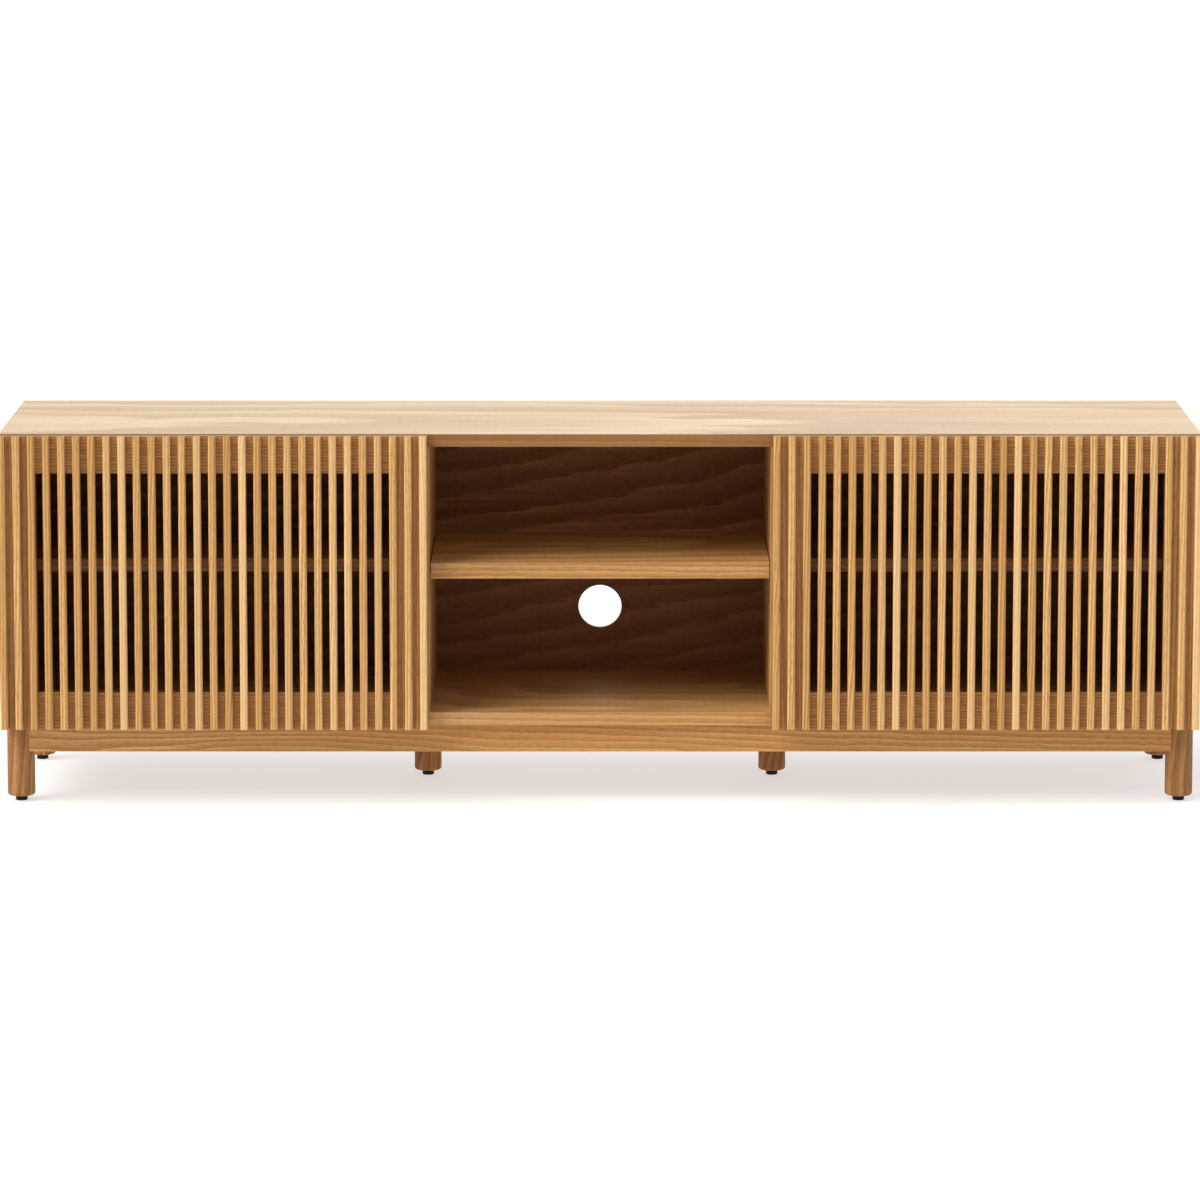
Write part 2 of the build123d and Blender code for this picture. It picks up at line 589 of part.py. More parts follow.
def hinge_plate(z):
    """The mounting plate that carries an arm on the side panel."""
    xs = (SIDE_INNER - PLATE_THICKNESS, SIDE_INNER)
    ys = (FRONT + PLATE_RANGE[0], FRONT + PLATE_RANGE[1])
    plate = block(xs, ys, (z - PLATE_HALF, z + PLATE_HALF))
    middle = FRONT + PLATE_SCREW_BACK
    wing_zs = (z - PLATE_WING_HALF, z + PLATE_WING_HALF)
    wings = block(xs, (middle - PLATE_HALF, middle + PLATE_HALF), wing_zs)
    plate = plate + fillet(wings.edges().filter_by(Axis.X), PLATE_HALF / 2)
    for offset in (-PLATE_SCREW_HALF, PLATE_SCREW_HALF):
        start = (SIDE_INNER - PLATE_THICKNESS, middle, z + offset)
        plate -= rod(start, (1, 0, 0), PLATE_SCREW_RADIUS + FIT, PLATE_THICKNESS)
    return plate


def plate_screws():
    screws = []
    x = SIDE_INNER - PLATE_THICKNESS - PLATE_SCREW_HEAD
    length = PLATE_THICKNESS + PLATE_SCREW_LENGTH
    sizes = (PLATE_SCREW_RADIUS, length, PLATE_SCREW_HEAD_RADIUS, PLATE_SCREW_HEAD)
    for z in HINGE_HEIGHTS:
        for offset in (-PLATE_SCREW_HALF, PLATE_SCREW_HALF):
            one = screw((x, FRONT + PLATE_SCREW_BACK, z + offset), (1, 0, 0), *sizes)
            screws += [one, twin(one)]
    return group(screws)


def cup_screws():
    screws = []
    y = DOOR_BACK + FLANGE + CUP_SCREW_HEAD
    length = FLANGE + CUP_SCREW_LENGTH
    sizes = (CUP_SCREW_RADIUS, length, CUP_SCREW_HEAD_RADIUS, CUP_SCREW_HEAD)
    for z in HINGE_HEIGHTS:
        for offset in (-CUP_SCREW_HALF, CUP_SCREW_HALF):
            screws.append(screw((SIDE - CUP_SCREW_IN, y, z + offset), (0, -1, 0), *sizes))
    return group(screws)


# ---- Push latches ----
def latch_screw_places():
    """One screw behind the bore of each latch, up into the top panel."""
    y = FRONT + LATCH_BACK + LATCH_LENGTH + LATCH_SIZE / 2
    return [(side * LATCH_X, y) for side in (-1, 1)]


def latch_screw_holes():
    radius = LATCH_SCREW_RADIUS + ROUND_FIT
    length = LATCH_SCREW_LENGTH + END_ROOM
    return [rod((x, y, CEILING), (0, 0, 1), radius, length) for x, y in latch_screw_places()]


def latch_housing():
    """The right latch: a round-cornered block with the plunger's bore and a screw tab."""
    half = LATCH_SIZE / 2
    ys = (FRONT + LATCH_BACK, FRONT + LATCH_BACK + LATCH_LENGTH)
    body = block((LATCH_X - half, LATCH_X + half), ys, (LATCH_Z - half, LATCH_Z + half))
    body = fillet(body.edges().filter_by(Axis.Y).group_by(Axis.Z)[0], half / 2)
    tab_ys = (ys[1] - END_ROOM, ys[1] + LATCH_SIZE)
    tab = block((LATCH_X - half, LATCH_X + half), tab_ys, (CEILING - LATCH_TAB, CEILING))
    bore_length = PLUNGER_LENGTH + PLUNGER_TRAVEL
    start = (LATCH_X, ys[0], LATCH_Z)
    body -= rod(start, (0, 1, 0), PLUNGER_RADIUS + ROUND_FIT, bore_length)
    x, y = latch_screw_places()[1]
    seat = (x, y, CEILING - LATCH_TAB)
    return body + tab - rod(seat, (0, 0, 1), LATCH_SCREW_RADIUS + FIT, LATCH_TAB)


def latch_screws():
    z = CEILING - LATCH_TAB - LATCH_SCREW_HEAD
    length = LATCH_TAB + LATCH_SCREW_LENGTH
    sizes = (LATCH_SCREW_RADIUS, length, LATCH_SCREW_HEAD_RADIUS, LATCH_SCREW_HEAD)
    return group(screw((x, y, z), (0, 0, 1), *sizes) for x, y in latch_screw_places())


def latch_plunger():
    tip = DOOR_BACK + STRIKE_THICKNESS + PLUNGER_CLEAR
    plunger = rod((LATCH_X, tip, LATCH_Z), (0, 1, 0), PLUNGER_RADIUS, PLUNGER_LENGTH)
    return fillet(plunger.edges().sort_by(Axis.Y)[0], PLUNGER_RADIUS / 4)


# ---- All nodes ----
def nodes():
    """Every node's name and shape."""
    shapes = {
        "top_panel": top_panel(),
        "bottom_panel": bottom_panel(),
        "right_side_panel": side_panel(),
        "left_side_panel": twin(side_panel()),
        "right_divider": divider(),
        "left_divider": twin(divider()),
        "back_panel": back_panel(),
        "carcass_dowels": carcass_dowels(),
        "middle_shelf": middle_shelf(),
        "right_shelf": side_shelf(),
        "left_shelf": twin(side_shelf()),
        "shelf_pins": shelf_pins(),
        "front_apron": front_rear_apron(FRONT_LEG_Y, 1),
        "rear_apron": front_rear_apron(REAR_LEG_Y, -1),
        "right_side_rail": side_rail(),
        "left_side_rail": twin(side_rail()),
        "apron_screws": apron_screws(),
        "leg_bolts": leg_bolts(),
        "foot_inserts": foot_inserts(),
        "hinge_plate_screws": plate_screws(),
        "latch_screws": latch_screws(),
    }
    for name, (x, y) in LEGS.items():
        shapes[name] = leg(x, y)
        shapes[name.replace("_leg", "_foot")] = foot(x, y)
    low_tenon, high_tenon = door_tenons(0)
    right = {
        "door_outer_stile": outer_stile(),
        "door_inner_stile": door_stile((DOOR_INNER, DOOR_INNER + STILE_WIDTH)),
        "door_bottom_rail": door_rail(DOOR_BOTTOM, low_tenon),
        "door_top_rail": door_rail(DOOR_TOP - RAIL_WIDTH, high_tenon),
        "door_slats": door_slats(),
        "strike_plate": strike_plate(),
        "hinge_cups": group(hinge_cup(z) for z in HINGE_HEIGHTS),
        "hinge_pins": group(hinge_pin(z) for z in HINGE_HEIGHTS),
        "hinge_arms": group(hinge_arm(z) for z in HINGE_HEIGHTS),
        "hinge_plates": group(hinge_plate(z) for z in HINGE_HEIGHTS),
        "cup_screws": cup_screws(),
        "latch_housing": latch_housing(),
        "latch_plunger": latch_plunger(),
    }
    for name, shape in right.items():
        shapes["right_" + name] = shape
        shapes["left_" + name] = twin(shape)
    return shapes


os.makedirs("parts", exist_ok=True)
for node, shape in nodes().items():
    export_step(shape, "parts/" + node + ".step")
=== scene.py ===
"""Finishes and stage of an oak media cabinet with slatted doors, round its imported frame."""

import math

import bmesh
import bpy
from bpy.props import FloatProperty, FloatVectorProperty, PointerProperty
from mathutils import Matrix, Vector


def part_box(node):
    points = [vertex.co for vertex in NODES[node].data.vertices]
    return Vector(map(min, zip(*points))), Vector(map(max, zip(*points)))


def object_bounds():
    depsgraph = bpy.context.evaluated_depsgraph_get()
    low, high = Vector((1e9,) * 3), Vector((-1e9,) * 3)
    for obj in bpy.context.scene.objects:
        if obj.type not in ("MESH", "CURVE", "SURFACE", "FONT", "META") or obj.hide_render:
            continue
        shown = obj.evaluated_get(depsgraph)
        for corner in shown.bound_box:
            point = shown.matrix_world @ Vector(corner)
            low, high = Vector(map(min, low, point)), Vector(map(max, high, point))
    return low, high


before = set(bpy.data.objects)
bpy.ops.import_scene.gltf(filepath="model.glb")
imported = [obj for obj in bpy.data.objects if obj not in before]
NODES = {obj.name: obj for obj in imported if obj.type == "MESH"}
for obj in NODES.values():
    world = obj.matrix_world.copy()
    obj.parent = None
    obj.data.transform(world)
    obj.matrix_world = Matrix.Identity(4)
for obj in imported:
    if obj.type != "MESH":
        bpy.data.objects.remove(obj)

bl_info = {
    "name": "Oak media cabinet",
    "version": (1, 0, 0),
    "blender": (4, 5, 0),
    "location": "View3D > Sidebar > Cabinet",
    "description": "Oak, steel and plastic finishes for a slatted media cabinet",
    "category": "Object",
}

CAD_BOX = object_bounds()
SIDES = ("left", "right")
ROWS = ("front", "middle", "rear")  # of legs and feet
KEY_DISTANCE = 4.0  # only where the main light is drawn; it shines evenly
FLOOR_REACH = 60.0  # from the middle of the floor to its edges
SENSOR_WIDTH = 36.0  # millimetres, which the lens is given for
FAR_CLIP = 200.0
BAND_DEPTH = 0.0005  # thickness of the veneer on the top panel's front edge
BAND_DROP = 0.001  # from the top face to that veneer's upper edge
LONG = (0.0, 0.0, 0.0)  # the grain runs along the cabinet
UPRIGHT = (0.0, math.radians(90), 0.0)  # the grain runs up
DEEP = (0.0, 0.0, math.radians(-90))  # the grain runs from front to rear

# Noise features per metre, along the grain, across it and through the board
BEND_SCALE = (1.1, 5.0, 5.0)  # slow bends of the rings
TONE_SCALE = (0.9, 9.0, 9.0)  # broad paler and darker zones
STREAK_SCALE = (1.7, 150.0, 150.0)  # long dark streaks
SHAKE_SCALE = (14.0, 130.0, 130.0)  # small waves in a ring's edge
COARSE_SCALE = (3.0, 150.0, 150.0)  # bundles of fibres
FINE_SCALE = (9.0, 620.0, 620.0)  # single fibres
PORE_SCALE = (85.0, 1500.0, 1500.0)  # short open pores
ACROSS_BEND = 2.2  # bends across the board over those through it
SHAKE = 0.55  # height of the small waves, in rings
CROWDING = 0.10  # pores that the early wood has more than the late wood
SLAT_SHIFT = (3.0, 0.35, 0.05)  # how far apart two slats' places in the wood may be
HUE_SEED = 71.3  # sets a slat's hue apart from its darkness

# Layers over the pale ground: output of the figure, share of contrast, darkness, warmth
FIGURE = (
    ("Streak", 0.8, 0.58, 0.6),
    ("Ring", 1.0, 0.52, 0.75),
    ("Fibre", 0.45, 0.66, 0.5),
    ("Pore", 0.55, 0.34, 0.8),
)
OAK_SHINE = 0.25
PLASTIC_SHINE = 0.2
WIDE_GAP = 0.9  # share of the widest gap from which a gap parts two slats


def colour(name, default, description):
    """A colour that a user may change."""
    return FloatVectorProperty(
        name=name, default=default, description=description, subtype="COLOR", min=0.0, max=1.0
    )


class OakSettings(bpy.types.PropertyGroup):
    """Colours and grain sizes of the oak; the inside, back and leg colours are partly painted
    shade.
    """

    top: colour("Top", (0.83, 0.65, 0.45), "Light wood of the top panel")
    edge: colour("Top edge", (0.40, 0.23, 0.10), "Tint of the band on the top panel's front edge")
    carcass: colour("Carcass", (0.65, 0.39, 0.17), "Light wood of panels and shelves")
    # Inside is darker than the carcass partly as painted shade, for the shade that falls on the
    # shelves behind the doors.
    inside: colour("Inside", (0.40, 0.20, 0.085), "Light wood of the shelves behind the doors")
    # Back is partly a dark-stained panel and partly painted shade of the deep niche.
    back: colour("Back", (0.34, 0.145, 0.036), "Light wood of the back panel")
    door: colour("Door frame", (0.55, 0.31, 0.125), "Light wood of stiles and rails")
    slat: colour("Slat", (0.91, 0.61, 0.30), "Light wood of the slats")
    base: colour("Base", (0.76, 0.45, 0.19), "Light wood of the aprons and rails")
    # Leg is darker than the base partly as painted shade of the legs under the cabinet.
    leg: colour("Leg", (0.46, 0.245, 0.10), "Light wood of the legs")
    roughness: FloatProperty(
        name="Roughness", default=0.52, min=0.0, max=1.0, description="Roughness of oiled wood"
    )
    pore_depth: FloatProperty(
        name="Pore depth", default=0.0004, unit="LENGTH", description="Depth of the open pores"
    )


class FittingSettings(bpy.types.PropertyGroup):
    """Colours of metal and plastic fittings."""

    nickel: colour("Nickel", (0.62, 0.60, 0.56), "Plated steel of the hinges")
    zinc: colour("Zinc", (0.56, 0.57, 0.58), "Bright zinc of screws and pins")
    rubber: colour("Foot", (0.004, 0.004, 0.004), "Moulded plastic of the feet")
    latch: colour("Latch", (0.22, 0.22, 0.22), "Moulded plastic of the latches")
    beech: colour("Dowel", (0.62, 0.44, 0.27), "Bare wood of the dowels")


class StageSettings(bpy.types.PropertyGroup):
    """Camera, floor and lights."""

    distance: FloatProperty(
        name="Distance", default=8.352, unit="LENGTH", description="Camera to the cabinet's middle"
    )
    elevation: FloatProperty(
        name="Elevation",
        default=math.radians(8.71),
        subtype="ANGLE",
        description="Camera's height angle over the floor",
    )
    lens: FloatProperty(name="Lens", default=183.8, description="Focal length in millimetres")
    floor: colour("Floor", (0.42, 0.42, 0.42), "Plain pale floor, without its glow")
    glow: FloatProperty(name="Glow", default=0.58, description="Even light from inside the floor")
    sky: FloatProperty(name="Sky", default=0.70, description="Strength of the white surround")
    key: FloatProperty(name="Key", default=2.9, description="Strength of the soft main light")
    key_side: FloatProperty(
        name="Key side",
        default=math.radians(60),
        subtype="ANGLE",
        description="Main light's angle to the left of straight ahead",
    )
    key_height: FloatProperty(
        name="Key height",
        default=math.radians(44),
        subtype="ANGLE",
        description="Main light's angle over the floor",
    )
    key_spread: FloatProperty(
        name="Key spread",
        default=math.radians(45),
        subtype="ANGLE",
        description="Width of the main light as seen from the cabinet",
    )


# ---- Node helpers ----
class Net:
    """Adds nodes to a tree and links them, left to right."""

    def __init__(self, tree):
        self.tree = tree

    def add(self, kind, inputs=None, **settings):
        node = self.tree.nodes.new(kind)
        for key, value in settings.items():
            setattr(node, key, value)
        for key, value in (inputs or {}).items():
            self.feed(node.inputs[key], value)
        return node

    def feed(self, socket, value):
        if isinstance(value, bpy.types.NodeSocket):
            self.tree.links.new(value, socket)
        else:
            socket.default_value = value

    def math(self, operation, *values, clamp=False):
        inputs = dict(enumerate(values))
        return self.add("ShaderNodeMath", inputs, operation=operation, use_clamp=clamp).outputs[0]

    def vector(self, operation, *values):
        inputs = dict(enumerate(values))
        return self.add("ShaderNodeVectorMath", inputs, operation=operation).outputs[0]

    def noise(self, vector, scale, detail=2.0, roughness=0.5):
        inputs = {"Vector": vector, "Scale": scale, "Detail": detail, "Roughness": roughness}
        return self.add("ShaderNodeTexNoise", inputs).outputs["Fac"]

    def spread(self, value, low, high, to_low=0.0, to_high=1.0):
        inputs = {0: value, 1: low, 2: high, 3: to_low, 4: to_high}
        return self.add("ShaderNodeMapRange", inputs).outputs[0]

    def mix(self, factor, first, second, blend="MIX"):
        node = self.add("ShaderNodeMix", data_type="RGBA", blend_type=blend)
        colours = [s for s in node.inputs if s.type == "RGBA"]
        self.feed(node.inputs[0], factor)
        self.feed(colours[0], first)
        self.feed(colours[1], second)
        return next(s for s in node.outputs if s.type == "RGBA")


def group_tree(name, inputs, outputs):
    """An empty shader node group with named sockets, and its two end nodes."""
    tree = bpy.data.node_groups.new(name, "ShaderNodeTree")
    for label, kind, default in inputs:
        socket = tree.interface.new_socket(label, in_out="INPUT", socket_type="NodeSocket" + kind)
        if default is not None:
            socket.default_value = default
    for label, kind in outputs:
        tree.interface.new_socket(label, in_out="OUTPUT", socket_type="NodeSocket" + kind)
    return tree, tree.nodes.new("NodeGroupInput"), tree.nodes.new("NodeGroupOutput")


def oak_grain_group():
    """Oak figure on board coordinates: X along the grain, Y across, Z through the board.

    The growth rings are rough cones round an axis below the board, so that a flat-sawn face
    shows long arches. Rings puts them closer, Lean opens the arches, Warp bends them."""
    name = "oak_grain"
    if name in bpy.data.node_groups:
        return bpy.data.node_groups[name]
    tree, given, out = group_tree(
        name,
        [
            ("Vector", "Vector", None),
            ("Rings", "Float", 150.0),
            ("Lean", "Float", 0.03),
            ("Warp", "Float", 0.02),
            ("Heart", "Float", 0.12),
        ],
        [
            ("Ring", "Float"),
            ("Fibre", "Float"),
            ("Streak", "Float"),
            ("Pore", "Float"),
            ("Tone", "Float"),
        ],
    )
    net = Net(tree)
    vector = given.outputs["Vector"]
    broad = net.noise(net.vector("MULTIPLY", vector, BEND_SCALE), 1.0, 3.0, 0.55)
    bend = net.math("MULTIPLY", net.math("SUBTRACT", broad, 0.5), given.outputs["Warp"])
    parts = net.add("ShaderNodeSeparateXYZ", {0: vector})
    across = net.math("ADD", parts.outputs["Y"], net.math("MULTIPLY", bend, ACROSS_BEND))
    lean = net.math("MULTIPLY", parts.outputs["X"], given.outputs["Lean"])
    below = net.math("ADD", net.math("ADD", parts.outputs["Z"], given.outputs["Heart"]), lean)
    below = net.math("ADD", below, bend)
    radius = net.math("SQRT", net.math("ADD", net.math("POWER", across, 2.0),
                                       net.math("POWER", below, 2.0)))
    shake = net.noise(net.vector("MULTIPLY", vector, SHAKE_SCALE), 1.0, 2.0)
    phase = net.math("MULTIPLY", radius, given.outputs["Rings"])
    phase = net.math("ADD", phase, net.math("MULTIPLY", shake, SHAKE))
    turn = net.math("FRACT", phase)
    early = net.spread(turn, 0.0, 0.10)
    late = net.spread(turn, 0.22, 1.0, 1.0, 0.08)
    ring = net.math("MULTIPLY", early, late)
    fine = net.noise(net.vector("MULTIPLY", vector, FINE_SCALE), 1.0, 2.0, 0.6)
    coarse = net.noise(net.vector("MULTIPLY", vector, COARSE_SCALE), 1.0, 2.0, 0.6)
    fibre = net.math("ADD", net.math("MULTIPLY", fine, 0.55), net.math("MULTIPLY", coarse, 0.45))
    dash = net.noise(net.vector("MULTIPLY", vector, PORE_SCALE), 1.0, 1.0)
    crowd = net.math("MULTIPLY", ring, CROWDING)
    pore = net.spread(net.math("ADD", dash, crowd), 0.60, 0.72)
    tree.links.new(ring, out.inputs["Ring"])
    tree.links.new(net.spread(fibre, 0.32, 0.68), out.inputs["Fibre"])
    streak = net.noise(net.vector("MULTIPLY", vector, STREAK_SCALE), 1.0, 4.0, 0.62)
    tree.links.new(net.spread(streak, 0.40, 0.66), out.inputs["Streak"])
    tree.links.new(pore, out.inputs["Pore"])
    tree.links.new(net.noise(net.vector("MULTIPLY", vector, TONE_SCALE), 1.0, 2.0),
                   out.inputs["Tone"])
    return tree


def piece_tint_group():
    """A steady random value and shift for each slat, from the slat's own place."""
    name = "piece_tint"
    if name in bpy.data.node_groups:
        return bpy.data.node_groups[name]
    tree, given, out = group_tree(
        name,
        [("Vector", "Vector", None), ("First", "Float", 0.0), ("Pitch", "Float", 0.02)],
        [("Value", "Float"), ("Shift", "Vector"), ("Hue", "Float")],
    )
    net = Net(tree)
    parts = net.add("ShaderNodeSeparateXYZ", {0: given.outputs["Vector"]})
    place = net.math("SUBTRACT", parts.outputs["X"], given.outputs["First"])
    number = net.math("ROUND", net.math("DIVIDE", place, given.outputs["Pitch"]))
    white = net.add("ShaderNodeTexWhiteNoise", {"W": number}, noise_dimensions="1D")
    second = net.add("ShaderNodeTexWhiteNoise", {"W": net.math("ADD", number, HUE_SEED)},
                     noise_dimensions="1D")
    shift = net.vector("MULTIPLY", white.outputs["Color"], SLAT_SHIFT)
    tree.links.new(white.outputs["Value"], out.inputs["Value"])
    tree.links.new(shift, out.inputs["Shift"])
    tree.links.new(second.outputs["Value"], out.inputs["Hue"])
    return tree


def edge_wear_group():
    """A mask that rises along rounded edges, for bright metal."""
    name = "edge_wear"
    if name in bpy.data.node_groups:
        return bpy.data.node_groups[name]
    tree, given, out = group_tree(
        name, [("Vector", "Vector", None), ("Amount", "Float", 0.5)], [("Mask", "Float")]
    )
    net = Net(tree)
    point = net.add("ShaderNodeNewGeometry").outputs["Pointiness"]
    sharp = net.spread(point, 0.52, 0.62)
    patch = net.spread(net.noise(given.outputs["Vector"], 40.0, 3.0), 0.35, 0.65, 0.4, 1.0)
    mask = net.math("MULTIPLY", net.math("MULTIPLY", sharp, patch), given.outputs["Amount"])
    tree.links.new(mask, out.inputs["Mask"])
    return tree


def new_material(name):
    material = bpy.data.materials.new(name)
    material.use_nodes = True
    net = Net(material.node_tree)
    shader = material.node_tree.nodes["Principled BSDF"]
    coordinates = net.add("ShaderNodeTexCoord").outputs["Object"]
    return material, net, shader, coordinates


def shade(base, factor, warm=0.0):
    """The colour times a factor, with warmth that takes blue and green away."""
    red, green, blue = (channel * factor for channel in base[:3])
    return (red, green * (1 - 0.35 * warm), blue * (1 - 0.8 * warm), 1.0)


def oak(name, light, grain, rings=150.0, lean=0.03, warp=0.02, heart=0.12, shift=(0, 0, 0),
        contrast=0.6, warmth=1.0, slats=None, band=None):
    """An oiled oak finish. grain turns the board's length to the grain's own X axis.

    Warmth makes the darker parts of the figure browner. Slats are the first slat's middle
    and the pitch, and give each slat its own wood. A band is a veneer: its tint, and the
    places on Y and Z that it lies in front of and under."""
    material, net, shader, coordinates = new_material(name)
    settings = bpy.context.scene.cabinet_oak
    mapping = net.add("ShaderNodeMapping", {"Vector": coordinates})
    mapping.inputs["Rotation"].default_value = grain
    mapping.inputs["Location"].default_value = shift
    vector = mapping.outputs["Vector"]
    tint = None
    if slats:
        tint = net.add("ShaderNodeGroup", node_tree=piece_tint_group())
        net.feed(tint.inputs["Vector"], coordinates)
        tint.inputs["First"].default_value = slats[0]
        tint.inputs["Pitch"].default_value = slats[1]
        vector = net.vector("ADD", vector, tint.outputs["Shift"])
    figure = net.add("ShaderNodeGroup", node_tree=oak_grain_group())
    net.feed(figure.inputs["Vector"], vector)
    for label, value in (("Rings", rings), ("Lean", lean), ("Warp", warp), ("Heart", heart)):
        figure.inputs[label].default_value = value
    ring, fibre = figure.outputs["Ring"], figure.outputs["Fibre"]
    pore, tone = figure.outputs["Pore"], figure.outputs["Tone"]
    wood = net.mix(net.spread(tone, 0.36, 0.64), shade(light, 1 + 0.13 * contrast),
                   shade(light, 1 - 0.20 * contrast, 0.4 * warmth))
    for label, share, darkness, warm in FIGURE:
        mask = net.math("MULTIPLY", figure.outputs[label], share * contrast)
        wood = net.mix(mask, wood, shade(light, darkness, warm * warmth))
    if tint:
        wood = net.mix(net.spread(tint.outputs["Value"], 0.20, 1, 0.0, 0.85), wood,
                       net.mix(ring, shade(light, 0.66, 0.5), shade(light, 0.38, 0.9)))
        wood = net.mix(net.spread(tint.outputs["Hue"], 0.45, 1, 0.0, 0.36), wood,
                       shade(light, 1.12, -0.25))
    if band:
        veneer, front, top = band
        place = net.add("ShaderNodeSeparateXYZ", {0: coordinates})
        ahead = net.math("LESS_THAN", place.outputs["Y"], front)
        under = net.math("LESS_THAN", place.outputs["Z"], top)
        wood = net.mix(net.math("MULTIPLY", ahead, under), wood, (*veneer[:3], 1.0),
                       blend="MULTIPLY")
    net.feed(shader.inputs["Base Color"], wood)
    rough = net.math("ADD", settings.roughness, net.math("MULTIPLY", pore, 0.2))
    rough = net.math("SUBTRACT", rough, net.math("MULTIPLY", fibre, 0.06))
    net.feed(shader.inputs["Roughness"], rough)
    shader.inputs["Specular IOR Level"].default_value = OAK_SHINE
    low = net.math("ADD", net.math("MULTIPLY", pore, -1.0), net.math("MULTIPLY", fibre, -0.3))
    low = net.math("ADD", low, net.math("MULTIPLY", ring, -0.12))
    bump = net.add("ShaderNodeBump", {"Height": low, "Strength": 0.5})
    bump.inputs["Distance"].default_value = settings.pore_depth
    net.feed(shader.inputs["Normal"], bump.outputs["Normal"])
    return material


def metal(name, base, roughness, grain_scale):
    """Plated steel with fine drawn lines, faint stains and bright edges."""
    material, net, shader, coordinates = new_material(name)
    lines = net.noise(net.vector("MULTIPLY", coordinates, grain_scale), 1.0, 2.0)
    stain = net.noise(coordinates, 90.0, 4.0)
    dark = net.mix(net.spread(stain, 0.4, 0.7), shade(base, 1.0), shade(base, 0.82, 0.06))
    wear = net.add("ShaderNodeGroup", node_tree=edge_wear_group())
    net.feed(wear.inputs["Vector"], coordinates)
    wear.inputs["Amount"].default_value = 0.7
    net.feed(shader.inputs["Base Color"], net.mix(wear.outputs["Mask"], dark, shade(base, 1.3)))
    shader.inputs["Metallic"].default_value = 1.0
    net.feed(shader.inputs["Roughness"], net.spread(lines, 0.3, 0.7, roughness, roughness + 0.14))
    bump = net.add("ShaderNodeBump", {"Height": lines, "Strength": 0.15})
    bump.inputs["Distance"].default_value = 0.0001
    net.feed(shader.inputs["Normal"], bump.outputs["Normal"])
    return material


def plastic(name, base, roughness):
    """Moulded plastic with a fine spark-eroded texture and scuffs."""
    material, net, shader, coordinates = new_material(name)
    grit = net.noise(coordinates, 1600.0, 2.0)
    scuff = net.spread(net.noise(net.vector("MULTIPLY", coordinates, (60, 60, 240)), 1.0, 4.0),
                       0.55, 0.75)
    worn = net.mix(net.math("MULTIPLY", scuff, 0.3), shade(base, 1.0), shade(base, 1.9))
    net.feed(shader.inputs["Base Color"], worn)
    net.feed(shader.inputs["Roughness"], net.spread(grit, 0.3, 0.7, roughness, roughness + 0.15))
    shader.inputs["Specular IOR Level"].default_value = PLASTIC_SHINE
    bump = net.add("ShaderNodeBump", {"Height": grit, "Strength": 0.35})
    bump.inputs["Distance"].default_value = 0.0002
    net.feed(shader.inputs["Normal"], bump.outputs["Normal"])
    return material


def paint(node, material):
    """Gives a node of the frame its finish."""
    data = NODES[node].data
    data.materials.clear()
    data.materials.append(material)


def both_sides(suffix):
    return [f"{side}_{suffix}" for side in SIDES]


# ---- Operators ----
class FinishOperator:
    bl_options = {"REGISTER", "UNDO"}


class CABINET_OT_top(FinishOperator, bpy.types.Operator):
    """Veneers the top panel with pale, straight oak"""

    bl_idname = "cabinet.top"
    bl_label = "Top panel"

    def execute(self, context):
        settings = context.scene.cabinet_oak
        low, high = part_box("top_panel")
        paint("top_panel", oak("oak_top", settings.top, LONG, rings=80, lean=0.012, warp=0.03,
                               heart=0.5, shift=(0.3, 0.07, 0.0), contrast=0.46, warmth=0.3,
                               band=(settings.edge, low.y + BAND_DEPTH, high.z - BAND_DROP)))
        return {"FINISHED"}


class CABINET_OT_carcass(FinishOperator, bpy.types.Operator):
    """Veneers bottom, sides, dividers and back, and leaves the dowels bare"""

    bl_idname = "cabinet.carcass"
    bl_label = "Carcass"

    def execute(self, context):
        settings = context.scene.cabinet_oak
        paint("bottom_panel", oak("oak_bottom", settings.carcass, LONG, rings=110, lean=0.015,
                                  warp=0.05, heart=0.3, shift=(1.7, 0.1, 0.02)))
        for i, node in enumerate(both_sides("side_panel") + both_sides("divider")):
            paint(node, oak(f"oak_{node}", settings.carcass, UPRIGHT, rings=120, lean=0.05,
                            warp=0.05, heart=0.25, shift=(0.9 * i, 0.06 * i, 0.0)))
        # The back panel's dark colour is partly painted shade of the niche.
        paint("back_panel", oak("oak_back", settings.back, LONG, rings=34, lean=-0.19,
                                warp=0.06, heart=0.0, shift=(0.5, 0.0, 0.3), contrast=1.25))
        dowel = context.scene.cabinet_fittings.beech
        paint("carcass_dowels", oak("beech_dowel", dowel, UPRIGHT, rings=200, contrast=0.3))
        return {"FINISHED"}


class CABINET_OT_shelves(FinishOperator, bpy.types.Operator):
    """Finishes the three shelves and their steel pins"""

    bl_idname = "cabinet.shelves"
    bl_label = "Shelves"

    def execute(self, context):
        settings = context.scene.cabinet_oak
        for i, node in enumerate(["middle_shelf"] + both_sides("shelf")):
            # The side shelves take the darker inside colour, which is partly painted shade of the
            # closed compartments.
            light = settings.inside if i else settings.carcass
            paint(node, oak(f"oak_{node}", light, LONG, rings=130, lean=0.01, warp=0.04,
                            heart=0.2, shift=(0.6 * i + 0.2, 0.05 * i, 0.1), contrast=0.8))
        zinc = context.scene.cabinet_fittings.zinc
        paint("shelf_pins", metal("zinc_pins", zinc, 0.3, (300, 40, 300)))
        return {"FINISHED"}


